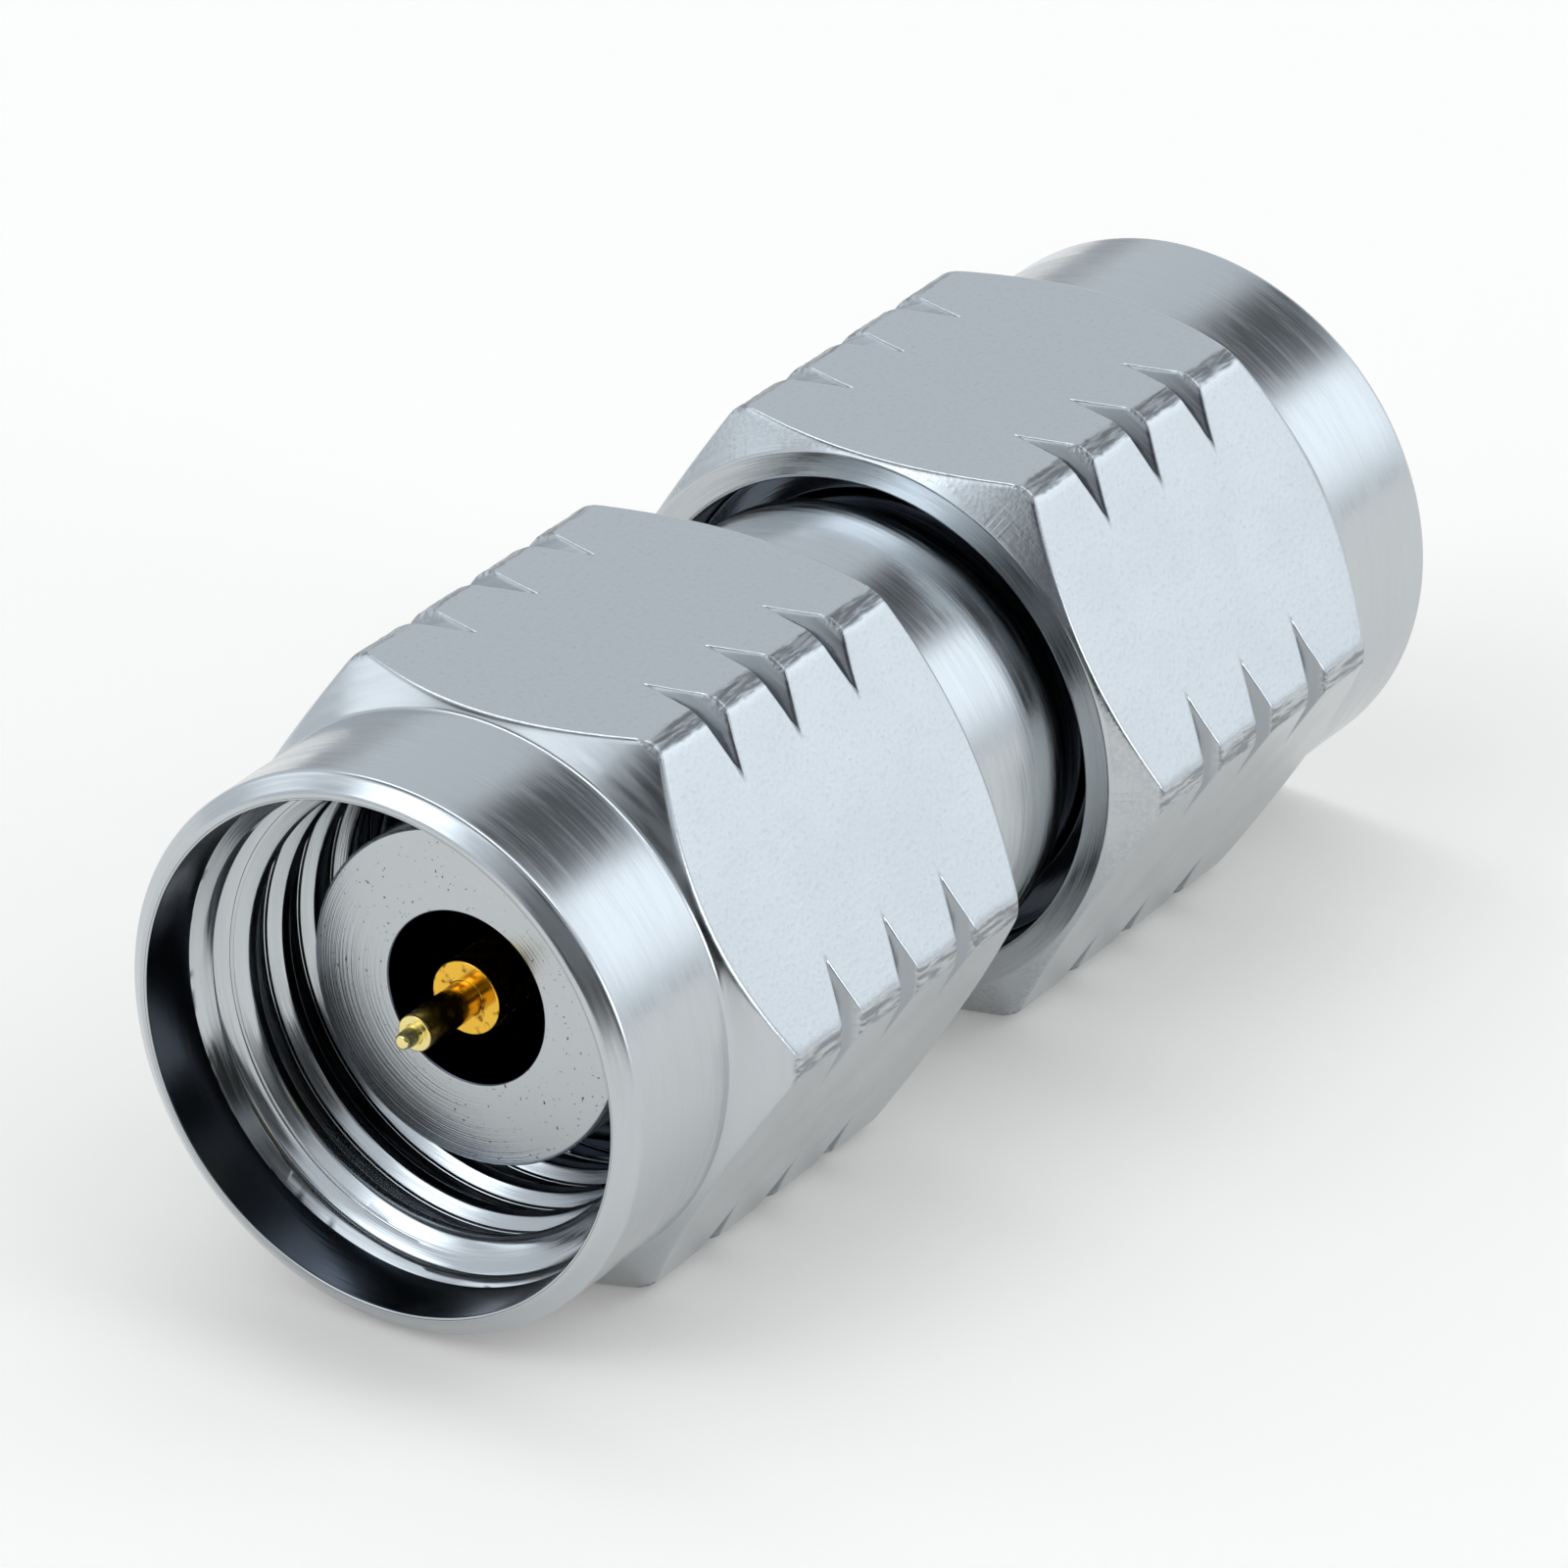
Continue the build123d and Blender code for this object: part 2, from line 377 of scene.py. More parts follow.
@dataclass(frozen=True)
class Steel:
    """Passivated stainless steel, turned on a lathe, with flats that were milled along the axis.

    The fine lines of the tool run round the axis on everything that was turned, and break a reflection
    into streaks. Real ones are about 0.02 mm wide, too fine to show, so they are made wider. The flats
    have faint lines along the axis and a fine grain. The passivated skin is satin and slightly uneven.
    The corners of the hexagon were turned with an interrupted cut, which left them rough and mottled. A
    faced end has fine rings and pits. Bores and notch walls get painted shade, and bores are smoother.

    Attributes:
        name: Name of the material.
        colour: sRGB colour of the metal, seen straight on.
        recess_shade_colour: sRGB colour of the painted shade in bores and on notch walls.
        dull_colour: sRGB colour of the dull patches on the rough corners.
        pit_colour: sRGB colour of the pits.
        smooth: Roughness in the smoothest streaks.
        rough: Roughness in the dullest streaks.
        flat_roughness: Roughness of the milled flats, least and most.
        face_roughness: Roughness of a faced end.
        bore_roughness: Roughness where shade is painted in bores and on notch walls.
        corner_roughness: Roughness of the rough corners.
        line_width: Width of a turning line in millimetres.
        line_length: Length of a turning line before it fades, in millimetres.
        line_share: Share of the single lines in the streaks. The rest are bands, five times as wide.
        ring_size: Width and length of a ring of a faced end, in millimetres.
        mill_size: Length and widths of a milling line, in millimetres.
        grain_size: Size of the grain of the flats, in millimetres.
        tear_size: Length and widths of the mottling of the corners, in millimetres.
        cloud_size: Size of the uneven patches of the satin flats, in millimetres.
        pit_size: Spacing of the pits, in millimetres.
        line_height: Height of the turning lines in millimetres.
        ring_height: Height of the rings in millimetres.
        mill_height: Height of the milling lines in millimetres.
        grain_height: Height of the grain in millimetres.
        corner_height: Height of the mottling of the corners in millimetres.
        corner_dull: How much the dull colour shows in a patch of a corner.
        flat_dull: How much it shows in the specks of the flats.
        flat_pits: Share of a faced end's pits that the flats have.
    """

    name: str
    colour: str = "#C0C5C8"
    recess_shade_colour: str = "#575D66"
    dull_colour: str = "#777A7E"
    pit_colour: str = "#4A4742"
    smooth: float = 0.13
    rough: float = 0.27
    flat_roughness: tuple[float, float] = (0.19, 0.25)
    face_roughness: float = 0.20
    bore_roughness: float = 0.15
    corner_roughness: float = 0.38
    line_width: float = 0.055
    line_length: float = 0.9
    line_share: float = 0.6
    ring_size: tuple[float, float] = (0.032, 2.5)
    mill_size: tuple[float, float, float] = (2.5, 0.05, 0.05)
    grain_size: float = 0.07
    tear_size: tuple[float, float, float] = (0.42, 0.055, 0.055)
    cloud_size: float = 1.1
    pit_size: float = 0.05
    line_height: float = 0.0012
    ring_height: float = 0.0016
    mill_height: float = 0.00024
    grain_height: float = 0.00216
    corner_height: float = 0.013
    corner_dull: float = 0.75
    flat_dull: float = 0.10
    flat_pits: float = 0.12

    def make(self) -> bpy.types.Material:
        """Builds the node material: its roughness, then its relief, then its colour.

        Returns:
            The material.
        """
        material, node = new_material(self.name)
        place = Place.of(node)
        turned, faced, corner, shaded_recess = (
            node("ShaderNodeAttribute", attribute_name=mark.value).outputs["Fac"]
            for mark in (Mark.TURNED, Mark.FACED, Mark.CORNER, Mark.SHADED_RECESS)
        )
        lines, bands, rings, milled, grain, torn, cloud, pits = (
            node("ShaderNodeTexNoise", {"Vector": vector, "Scale": 1.0, "Detail": detail})
            for vector, detail in (
                (place.turning(self.line_width, self.line_length), 2.0),
                (place.turning(self.line_width * 5, self.line_length * 4), 1.0),
                (place.turning(*self.ring_size), 1.0),
                (place.grains(self.mill_size), 2.0),
                (place.grains((self.grain_size,) * 3), 3.0),
                (place.grains(self.tear_size), 4.0),
                (place.grains((self.cloud_size,) * 3), 3.0),
                (place.grains((self.pit_size,) * 3), 1.0),
            )
        )

        # A noise lies mostly between 0.3 and 0.7, and each ramp below chooses how much of it shows
        streaks = node("ShaderNodeMath", {0: lines, 1: self.line_share}, operation="MULTIPLY")
        terms = {0: bands, 1: 1 - self.line_share, 2: streaks}
        streaks = node("ShaderNodeMath", terms, operation="MULTIPLY_ADD")
        streaks, rough = (
            node("ShaderNodeMapRange", inputs, interpolation_type="SMOOTHSTEP")
            for inputs in (
                ramp(streaks, 0.35, 0.65, self.smooth, self.rough),
                ramp(cloud, 0.3, 0.7, *self.flat_roughness),
            )
        )
        for share, other in (
            (turned, streaks),
            (faced, self.face_roughness),
            (shaded_recess, self.bore_roughness),
            (corner, self.corner_roughness),
        ):
            rough = node("ShaderNodeMix", {"Factor": share, "A": rough, "B": other}, data_type="FLOAT")

        height = node("ShaderNodeMath", {0: milled, 1: self.mill_height}, operation="MULTIPLY")
        terms = {0: grain, 1: self.grain_height, 2: height}
        height = node("ShaderNodeMath", terms, operation="MULTIPLY_ADD")
        for share, pattern, most in (
            (turned, lines, self.line_height),
            (faced, rings, self.ring_height),
            (corner, torn, self.corner_height),
        ):
            raised = node("ShaderNodeMath", {0: pattern, 1: most}, operation="MULTIPLY")
            height = node("ShaderNodeMix", {"Factor": share, "A": height, "B": raised}, data_type="FLOAT")
        bump = node("ShaderNodeBump", {"Height": height, "Distance": METRES_PER_MM, "Strength": 1.0})

        on_flat = node("ShaderNodeMath", {0: 1.0, 1: turned}, operation="SUBTRACT")
        pitted = node("ShaderNodeMath", {0: on_flat, 1: self.flat_pits}, operation="MULTIPLY")
        pitted = node("ShaderNodeMath", {0: faced, 1: pitted}, operation="MAXIMUM")
        patches, specks, pits = (
            node(
                "ShaderNodeMath",
                {0: node("ShaderNodeMapRange", inputs, interpolation_type="SMOOTHSTEP"), 1: where},
                operation="MULTIPLY",
            )
            for inputs, where in (
                (ramp(torn, 0.36, 0.60, 0.0, self.corner_dull), corner),
                (ramp(grain, 0.50, 0.75, 0.0, self.flat_dull), on_flat),
                (ramp(pits, 0.70, 0.76), pitted),
            )
        )
        dull = node("ShaderNodeMath", {0: patches, 1: specks}, operation="MAXIMUM")
        tint = linear(self.colour)
        # Painted shade darkens bores and notch walls; the dull patches and pits are the metal's own
        for share, other in ((shaded_recess, self.recess_shade_colour), (dull, self.dull_colour), (pits, self.pit_colour)):
            tint = node("ShaderNodeMix", {"Factor": share, "A": tint, "B": linear(other)}, data_type="RGBA")
        metal = {"Base Color": tint, "Metallic": 1.0, "Roughness": rough, "Normal": bump}
        shader = node("ShaderNodeBsdfPrincipled", metal)
        node("ShaderNodeOutputMaterial", {"Surface": shader})
        return material


@dataclass(frozen=True)
class GoldPlate:
    """Gold plated over turned beryllium copper, with brownish patches where the plating is thin.

    The faced shoulder is bright, the pin's side is painted a darker olive as shade, and the tip is paler.

    Attributes:
        name: Name of the material.
        colour: sRGB colour of the gold.
        patch: sRGB colour of the thin patches.
        side: sRGB colour of the side of the pin, darker olive: painted shade.
        tip: sRGB colour of the paler tip.
        patch_size: Size of a patch in millimetres.
        smooth: Roughness of the thick plating.
        rough: Roughness of the thin patches.
        line_size: Width and length of a turning line in millimetres.
        line_height: Height of the turning lines in millimetres.
    """

    name: str
    colour: str = "#F0BE48"
    patch: str = "#8A5A20"
    side: str = "#8E7630"
    tip: str = "#EFE09A"
    patch_size: float = 0.16
    smooth: float = 0.16
    rough: float = 0.30
    line_size: tuple[float, float] = (0.02, 0.5)
    line_height: float = 0.0004

    def make(self) -> bpy.types.Material:
        """Builds the node material: its patterns, then its colour, then its relief.

        Returns:
            The material.
        """
        material, node = new_material(self.name)
        place = Place.of(node)
        patches, lines = (
            node("ShaderNodeTexNoise", {"Vector": vector, "Scale": 1.0, "Detail": detail})
            for vector, detail in (
                (place.grains((self.patch_size,) * 3), 3.0),
                (place.turning(*self.line_size), 1.0),
            )
        )
        thin, rough = (
            node("ShaderNodeMapRange", inputs, interpolation_type="SMOOTHSTEP")
            for inputs in (ramp(patches, 0.52, 0.68), ramp(patches, 0.4, 0.7, self.smooth, self.rough))
        )
        shaded_side, paler_tip = (
            node("ShaderNodeAttribute", attribute_name=mark.value).outputs["Fac"]
            for mark in (Mark.TURNED, Mark.TIP)
        )
        tint = linear(self.colour)
        # The pin's side gets painted shade, a darker olive; the tip is paler
        for share, other in ((thin, self.patch), (shaded_side, self.side), (paler_tip, self.tip)):
            tint = node("ShaderNodeMix", {"Factor": share, "A": tint, "B": linear(other)}, data_type="RGBA")
        relief = {"Height": lines, "Distance": self.line_height * METRES_PER_MM, "Strength": 1.0}
        bump = node("ShaderNodeBump", relief)
        metal = {"Base Color": tint, "Metallic": 1.0, "Roughness": rough, "Normal": bump}
        shader = node("ShaderNodeBsdfPrincipled", metal)
        node("ShaderNodeOutputMaterial", {"Surface": shader})
        return material


@dataclass(frozen=True)
class BeadPlastic:
    """Machined amber engineering plastic, slightly milky, with fine turning lines.

    Attributes:
        name: Name of the material.
        colour: sRGB colour of the plastic.
        shade: sRGB colour of its darker clouds.
        roughness: Roughness of the cut surface.
        cloud_size: Size of a cloud in millimetres.
        line_size: Width and length of a turning line in millimetres.
        line_height: Height of the turning lines in millimetres.
    """

    name: str
    colour: str = "#D9B67C"
    shade: str = "#C79F62"
    roughness: float = 0.45
    cloud_size: float = 0.7
    line_size: tuple[float, float] = (0.03, 0.6)
    line_height: float = 0.001

    def make(self) -> bpy.types.Material:
        """Builds the node material: its patterns, then its colour, then its relief.

        Returns:
            The material.
        """
        material, node = new_material(self.name)
        place = Place.of(node)
        clouds, lines = (
            node("ShaderNodeTexNoise", {"Vector": vector, "Scale": 1.0, "Detail": detail})
            for vector, detail in (
                (place.grains((self.cloud_size,) * 3), 2.0),
                (place.turning(*self.line_size), 1.0),
            )
        )
        colours = {"Factor": clouds, "A": linear(self.colour), "B": linear(self.shade)}
        tint = node("ShaderNodeMix", colours, data_type="RGBA")
        relief = {"Height": lines, "Distance": self.line_height * METRES_PER_MM, "Strength": 1.0}
        bump = node("ShaderNodeBump", relief)
        plastic = {"Base Color": tint, "Roughness": self.roughness, "Normal": bump}
        shader = node("ShaderNodeBsdfPrincipled", plastic)
        node("ShaderNodeOutputMaterial", {"Surface": shader})
        return material


# Pieces of the adapter


def wear(piece: bpy.types.Object, material: bpy.types.Material) -> None:
    """Gives a piece one material for all of it."""
    piece.data.materials.clear()
    piece.data.materials.append(material)


@dataclass(frozen=True)
class CouplingNut:
    """Hexagon coupling nut with turned and notched corners, a round nose and an internal thread.

    Attributes:
        side: Which half of the adapter it sits on.
        seed: Seed of the small unevenness of the turned corners.
        start: Station of its inner end face.
        end: Station of its mouth.
        flat: Distance of the flats from the axis.
        corner: Radius of the turned corners.
        end_face: Outer radius of the inner end face.
        end_edge: Reach of the rounded edge of the inner end face.
        back_cone_end: Station where the back cone meets the corners.
        front_cone_start: Station where the front cone leaves the corners.
        nose: Radius of the nose.
        nose_start: Station where the front cone meets the nose.
        fillet: Reach of the fillet there along the cone and the nose.
        notch_places: Stations of the notches across the corners.
        notch_half_width: Half the width of a notch.
        notch_bottom: Radius at the bottom of a notch.
        notch_shade_level: Share of painted shade on the walls of the notches.
        chatter: Depth of the unevenness that the interrupted cut left on the turned corners.
        chatter_lengths: Wave lengths of that unevenness.
        cone_mottle: Share of the corners' mottling that the back cone has.
        cone_soft: Width of the soft edge between a flat and a cone.
        strip_soft: Width of the soft edge between a flat and a turned corner.
        rim_bevel: Depth and radial width of the bevel of the rim.
        mouth: Radius of the plain bore of the mouth.
        mouth_depth_station: Station where the mouth bore ends and the thread's lead-in starts.
        major: Major radius of the thread.
        minor: Minor radius of the thread.
        pitch: Pitch of the thread.
        crest: Width of a crest, as a share of the pitch.
        flank: Width of each flank along the axis, as a share of the pitch.
        burr: Height of the fine lines that the threading tool left on the outer flanks.
        burr_places: Places of these lines, as shares of the pitch from the middle of a crest.
        burr_half_width: Half their width, as a share of the pitch.
        start_turn: How far the thread is turned into the nut, as a share of a turn.
        thread_soft: Widths of the soft edges at the crests, at the roots and at the lead-in.
        thread_end: Station where the thread ends in its relief.
        relief: Radius of the relief behind the thread.
        relief_end: Station where the relief ends.
        bearing: Radius of the bore that turns on the neck.
        groove: Radius of the groove that holds the ring.
        groove_ends: Stations of the two walls of that groove.
        skirt: Radius of the skirt that covers the flange.
        skirt_end: Station where the skirt ends inside.
    """

    side: Side
    seed: int
    start: float = 1.40
    end: float = 10.0
    flat: float = 4.0
    corner: float = 4.55
    end_face: float = 3.94
    end_edge: float = 0.02
    back_cone_end: float = 1.84
    front_cone_start: float = 7.10
    nose: float = 3.91
    nose_start: float = 7.74
    fillet: float = 0.05
    notch_places: tuple[float, ...] = (3.10, 4.47, 5.84)
    notch_half_width: float = 0.24
    notch_bottom: float = 4.21
    notch_shade_level: float = 0.40
    chatter: float = 0.012
    chatter_lengths: tuple[float, ...] = (0.83, 0.37, 0.21, 0.16)
    cone_mottle: float = 0.20
    cone_soft: float = 0.06
    strip_soft: float = 0.045
    rim_bevel: tuple[float, float] = (0.19, 0.24)
    mouth: float = 3.575
    mouth_depth_station: float = 9.05
    major: float = 3.50
    minor: float = 3.094
    pitch: float = 0.75
    crest: float = 0.25
    flank: float = 0.3125
    burr: float = 0.020
    burr_places: tuple[float, ...] = (0.268, 0.302)
    burr_half_width: float = 0.009
    start_turn: float = 0.17
    thread_soft: tuple[float, float, float] = (0.03, 0.04, 0.09)
    thread_end: float = 5.70
    relief: float = 3.55
    relief_end: float = 5.00
    bearing: float = 3.05
    groove: float = 3.30
    groove_ends: tuple[float, float] = (3.30, 3.86)
    skirt: float = 3.55
    skirt_end: float = 2.30

    def half_sector(self, reach: np.ndarray) -> np.ndarray:
        """Angles from the middle of a flat to a corner, close together at the edge of the turned corner.

        The edge lies where the flat is as far from the axis as the turned corner, at cos(angle) = flat /
        reach.

        Args:
            reach: Radius of the turned corner, any shape.

        Returns:
            21 angles for each value, along a new last axis.
        """
        # Columns on both sides of the edge keep its rounding smooth
        offsets = np.array([-0.10, -0.06, -0.035, -0.02, -0.01, 0.0, 0.01, 0.02, 0.035, 0.06])
        edge = np.arccos(self.flat / (reach[..., None] + offsets))
        flat_part = edge[..., :1] * np.linspace(0, 1, 9)[:-1]
        share = np.linspace(0, 1, 4)[1:]
        corner_part = edge[..., -1:] * (1 - share) + np.pi / 6 * share
        return np.concatenate([flat_part, edge, corner_part], axis=-1)

    def round_the_nut(self, half: np.ndarray) -> tuple[np.ndarray, np.ndarray]:
        """Repeats half sectors round the six corners.

        Args:
            half: Angles from a flat's middle, rows by corners by 21.

        Returns:
            The angle round the axis and the angle from the nearest flat's middle, each rows by 241
            columns.
        """
        sixth = np.pi / 3
        first = np.arange(6)[None, :, None] * sixth
        angle = np.concatenate([first + half, first + sixth - half[..., -2:0:-1]], axis=-1)
        local = np.concatenate([half, half[..., -2:0:-1]], axis=-1)
        rows = half.shape[0]
        angle = angle.reshape(rows, -1)
        local = local.reshape(rows, -1)
        angle = np.concatenate([angle, angle[:, :1] + FULL_TURN], axis=1)
        return angle, np.concatenate([local, local[:, :1]], axis=1)

    def strip_outline(self) -> np.ndarray:
        """Outline of the turned corner with its V notches, from the back cone to the front cone.

        Returns:
            Its points, one (station, radius) pair per row.
        """
        w, r, b = self.notch_half_width, self.corner, self.notch_bottom
        notches = [[(c - w, r), (c, b), (c + w, r)] for c in self.notch_places]
        inside = [point for notch in notches for point in notch]
        return softened(np.array([(self.back_cone_end, r), *inside, (self.front_cone_start, r)]), 0.035)

    def corner_rows(self) -> tuple[np.ndarray, np.ndarray, np.ndarray]:
        """Rows across the turned corners, each with its own edge on the flats.

        Returns:
            Station (rows, 1), turned radius and angle from a flat's middle (rows, corners, 21).
        """
        outline = self.strip_outline()
        # Between the notches a row stands every 0.075 mm, where the outline has no point within 0.02 mm
        filler = np.arange(self.back_cone_end + 0.12, self.front_cone_start - 0.12, 0.075)
        near = np.abs(filler[:, None] - outline[None, :, 0]).min(axis=1) < 0.02
        station = np.sort(np.concatenate([outline[1:-1, 0], filler[~near]]))
        radius = np.interp(station, outline[:, 0], outline[:, 1])
        # The unevenness fades out towards both cones
        waves = np.stack([wander(station, self.chatter_lengths, self.seed + k) for k in range(6)], axis=1)
        fade = np.clip((station - self.back_cone_end - 0.08) / 0.2, 0, 1)
        fade *= np.clip((self.front_cone_start - 0.08 - station) / 0.2, 0, 1)
        turned = radius[:, None] - self.chatter * (1 + waves) * fade[:, None]
        return station[:, None], turned, self.half_sector(turned)

    def outer_grid(self) -> tuple[np.ndarray, ...]:
        """Outside of the nut from the inner end face to the foot of the nose.

        The radius is soft_min(flat / cos(local angle), turned radius), so the flats cut the turned body.
        In the two cones the rows follow the edge between flat and cone.

        Returns:
            Station, radius, angle, the share of turned surface, of rough corner and of dark notch, each
            rows by 241 columns.
        """
        plain = self.half_sector(np.full((1, 6), self.corner))
        angle, local = self.round_the_nut(plain)
        flat_radius = self.flat / np.cos(local)
        drop = self.corner - np.minimum(flat_radius, self.corner)
        # Rows on both sides of the edge between flat and cone keep its rounding smooth
        steps = np.array([-0.08, -0.05, -0.03, -0.015, 0.0, 0.015, 0.03, 0.05, 0.08])[:, None]
        back_slope = (self.corner - self.end_face) / (self.back_cone_end - self.start)
        back = self.back_cone_end - drop / back_slope + steps
        back_foot = self.start + self.end_edge
        back = np.concatenate([np.full_like(back[:1], back_foot), back])
        back = np.maximum.accumulate(np.maximum(back, back_foot), axis=0)
        back_radius = self.corner - (self.back_cone_end - back) * back_slope
        front_foot = self.nose_start - self.fillet
        front = self.front_cone_start + drop + steps
        front = np.minimum(front, front_foot)
        share = np.linspace(0, 1, 5)[1:, None]
        front = np.concatenate([front, front[-1:] * (1 - share) + front_foot * share])
        front_radius = self.corner - (front - self.front_cone_start)
        station, turned, half = self.corner_rows()
        strip_angle, strip_local = self.round_the_nut(half)
        per_column = np.repeat(turned, 2 * (half.shape[-1] - 1), axis=1)
        per_column = np.concatenate([per_column, per_column[:, :1]], axis=1)
        back_body = soft_min(back_radius, np.full_like(back, self.corner), self.cone_soft)
        front_body = soft_min(front_radius, np.full_like(front, self.corner), self.cone_soft)
        rows = []
        for u, body, around, near, soft, mottle, dark in (
            (back, back_body, angle, local, self.cone_soft, self.cone_mottle, 0.0),
            (station, per_column, strip_angle, strip_local, self.strip_soft, 0.0, self.notch_shade_level),
            (front, front_body, angle, local, self.cone_soft, 0.0, 0.0),
        ):
            plane = self.flat / np.cos(near)
            # The marks change within a few hundredths of a millimetre of their edges
            share_turned = np.clip(0.5 + (plane - body) / 0.012, 0, 1)
            on_strip = np.clip((body - self.corner + 0.06) / 0.02, mottle, 1) * share_turned
            # Painted shade on the notch walls, deeper inside a notch
            notch_shade = np.clip((self.corner - 0.05 - body) / 0.03, 0, 1) * share_turned * dark
            radius = soft_min(plane, body, soft)
            rows.append(np.broadcast_arrays(u, radius, around, share_turned, on_strip, notch_shade))
        return tuple(np.concatenate(parts) for parts in zip(*rows))

    def nose_outline(self) -> np.ndarray:
        """Outline from the foot of the front cone over the nose and the rim into the mouth bore.

        Returns:
            Its points, one (station, radius) pair per row.
        """
        foot = self.nose_start - self.fillet
        depth, width = self.rim_bevel
        corners = [
            (foot, self.corner - (foot - self.front_cone_start)),
            (self.nose_start, self.nose),
            (self.end - depth, self.nose),
            (self.end, self.nose - width),
            (self.end, self.mouth),
            (self.mouth_depth_station, self.mouth),
        ]
        outline = softened(np.array(corners), np.array([self.fillet, 0.06, 0.05, 0.03]), 7)
        # More rows on the nose and in the mouth let the columns and the darker skin change evenly
        plain = np.arange(self.nose_start + 0.2, self.end - depth - 0.1, 0.2)[:, None]
        after = np.argmax(outline[:, 0] > self.nose_start + 0.15)
        wall = self.mouth_depth_station + np.array([[0.5], [0.25], [0.10], [0.04], [0.01]])
        return np.concatenate(
            [
                outline[:after],
                np.hstack([plain, 0 * plain + self.nose]),
                outline[after:-1],
                np.hstack([wall, 0 * wall + self.mouth]),
                outline[-1:],
            ]
        )

    def thread_grid(self, angle: np.ndarray) -> tuple[np.ndarray, np.ndarray]:
        """The turns of the right-hand thread, from the mouth inwards.

        A row keeps its phase p, so its station is p + side * pitch * (angle / full turn) - pitch * start
        turn, held between the relief and the mouth bore. The radius grows evenly from the minor to the
        major radius over each flank, with lines of burr * exp(-((p - place) / half width) ** 2) on the
        outer one, which fade towards the 45 degree lead-in. The lead-in cuts the first turn.

        Args:
            angle: Angles of the columns, one row.

        Returns:
            Station and radius, rows by columns.
        """
        # Rows stand at these shares of the pitch, close together where the flank meets crest and root
        half_turn = np.array([0.0, 0.08, 0.11, 0.125, 0.14, 0.17, 0.34, 0.38, 0.42, 0.45, 0.5])
        lines = np.linspace(self.burr_places[0], self.burr_places[1], 5)
        lines = np.concatenate([lines[:1] - self.burr_half_width, lines, lines[-1:] + self.burr_half_width])
        one_turn = np.sort(np.concatenate([half_turn, lines, 1 - half_turn[1:-1]]))
        climb = self.pitch * (self.side.value * angle / FULL_TURN - self.start_turn)
        low = np.floor((self.thread_end - climb.max()) / self.pitch) - 1
        high = np.ceil((self.mouth_depth_station - climb.min()) / self.pitch) + 1
        phase = (np.arange(low, high)[:, None] + one_turn).ravel() * self.pitch
        station = np.clip(phase[::-1, None] + climb, self.thread_end, self.mouth_depth_station)
        reaches_in = station.max(axis=1) > self.thread_end
        reaches_out = station.min(axis=1) < self.mouth_depth_station
        station = station[reaches_in & reaches_out]
        place = (station - climb) / self.pitch % 1
        depth = (0.5 - np.abs(place - 0.5) - self.crest / 2) / self.flank
        wall = self.minor + (self.major - self.minor) * depth
        at_crest, at_root, at_lead_in = self.thread_soft
        wall = -soft_min(-wall, np.full_like(wall, -self.minor), at_crest)
        wall = soft_min(wall, np.full_like(wall, self.major), at_root)
        lead_in = self.mouth - (self.mouth_depth_station - station)
        burr = self.burr * np.clip((wall - lead_in - 0.02) / 0.10, 0, 1)
        for line in self.burr_places:
            wall = wall - burr * np.exp(-(((place - line) / self.burr_half_width) ** 2))
        return station, -soft_min(-wall, -lead_in, at_lead_in)

    def inner_outline(self) -> np.ndarray:
        """Outline from the end of the thread through relief, bearing, groove and skirt to the end face.

        Returns:
            Its points, one (station, radius) pair per row.
        """
        near, far = self.groove_ends
        corners = [
            (self.thread_end, self.minor),
            (self.thread_end, self.relief),
            (self.relief_end, self.relief),
            (self.relief_end, self.bearing),
            (far, self.bearing),
            (far, self.groove),
            (near, self.groove),
            (near, self.bearing),
            (self.skirt_end, self.bearing),
            (self.skirt_end, self.skirt),
            (self.start, self.skirt),
            (self.start, self.end_face),
            (self.back_cone_end, self.corner),
        ]
        reach = [0.03, 0.03, 0.03, 0.02, 0.02, 0.02, 0.02, 0.03, 0.03, 0.05, self.end_edge]
        outline = softened(np.array(corners), np.array(reach), 3)[2:-1]
        plain = np.arange(self.skirt_end - 0.1, self.start + 0.1, -0.1)[:, None]
        after = np.argmax(outline[:, 0] < self.skirt_end - 0.05)
        skirt = np.hstack([plain, 0 * plain + self.skirt])
        return np.concatenate([outline[:after], skirt, outline[after:]])

    def build(self) -> bpy.types.Object:
        """Makes the whole nut as one closed skin and puts it on its body.

        Returns:
            The nut.
        """
        station, radius, angle, turned, corner, notched = self.outer_grid()
        columns = angle[:1]
        even = np.linspace(0, FULL_TURN, columns.size)[None, :]
        nose = self.nose_outline()[1:]
        thread_station, thread_radius = self.thread_grid(even)
        inner = self.inner_outline()
        wide = np.ones_like(columns)
        station = np.concatenate(
            [station, nose[:, :1] * wide, thread_station, inner[:, :1] * wide, station[:1]]
        )
        radius = np.concatenate(
            [radius, nose[:, 1:] * wide, thread_radius, inner[:, 1:] * wide, radius[:1]]
        )
        rest = np.ones((len(station) - len(turned), 1)) * wide
        turned = np.concatenate([turned, rest])
        corner = np.concatenate([corner, 0 * rest])
        # The columns crowd at the corners outside and stand evenly in the thread. They change over 1.7 mm
        # of the nose, and over 0.8 mm next to the inner end face.
        evened = [
            np.maximum.accumulate(np.clip((nose[:, :1] - self.nose_start - 0.1) / 1.7, 0, 1)),
            np.ones((len(thread_radius), 1)),
            np.clip((inner[:, :1] - self.start) / 0.8, 0, 1),
            np.zeros((1, 1)),
        ]
        share = np.concatenate(evened)
        angle = np.concatenate([angle, columns * (1 - share) + even * share])
